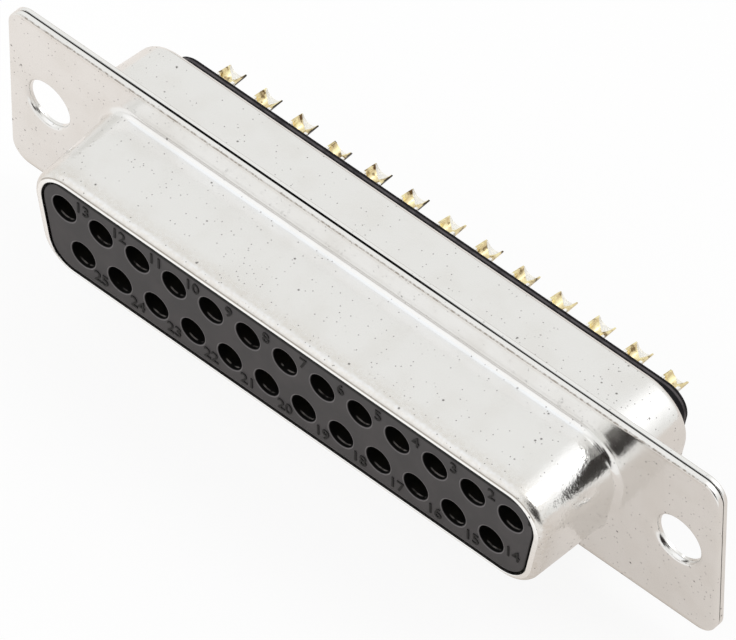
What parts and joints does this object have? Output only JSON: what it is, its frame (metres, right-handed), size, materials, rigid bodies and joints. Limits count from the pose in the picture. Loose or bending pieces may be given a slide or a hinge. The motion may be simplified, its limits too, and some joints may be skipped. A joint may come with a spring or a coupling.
{
  "type": "panel socket connector",
  "caption": "D-shaped panel socket with two staggered rows of contacts, a drawn metal shroud on a flange with two mounting holes, and solder cups behind.",
  "frame": {"origin": "middle of the line between the two mounting holes, on the front face of the flange, which is also the middle of the contact pattern", "axes": "-Y out of the mating face, +Y towards the solder cups, X along the rows, +Z towards the longer row"},
  "size_m": [0.0528, 0.0143, 0.0122],
  "materials": {
    "front_plating": "bright tin-like plating on drawn steel, with fine pits and faint draw marks",
    "rear_plating": "bright tin-like plating on drawn steel",
    "face_moulding": "matt dark grey moulding with plain raised contact numbers",
    "back_moulding": "matt black moulding",
    "contact_plating": "thin pale gold plating on copper alloy"
  },
  "bodies": {
    "root": {"front_shell": "front_plating", "rear_shell": "rear_plating", "front_insulator": "face_moulding", "rear_insulator": "back_moulding", "contact_01": "contact_plating", "contact_02": "contact_plating", "contact_03": "contact_plating", "contact_04": "contact_plating", "contact_05": "contact_plating", "contact_06": "contact_plating", "contact_07": "contact_plating", "contact_08": "contact_plating", "contact_09": "contact_plating", "contact_10": "contact_plating", "contact_11": "contact_plating", "contact_12": "contact_plating", "contact_13": "contact_plating", "contact_14": "contact_plating", "contact_15": "contact_plating", "contact_16": "contact_plating", "contact_17": "contact_plating", "contact_18": "contact_plating", "contact_19": "contact_plating", "contact_20": "contact_plating", "contact_21": "contact_plating", "contact_22": "contact_plating", "contact_23": "contact_plating", "contact_24": "contact_plating", "contact_25": "contact_plating"}
  },
  "joints": []
}
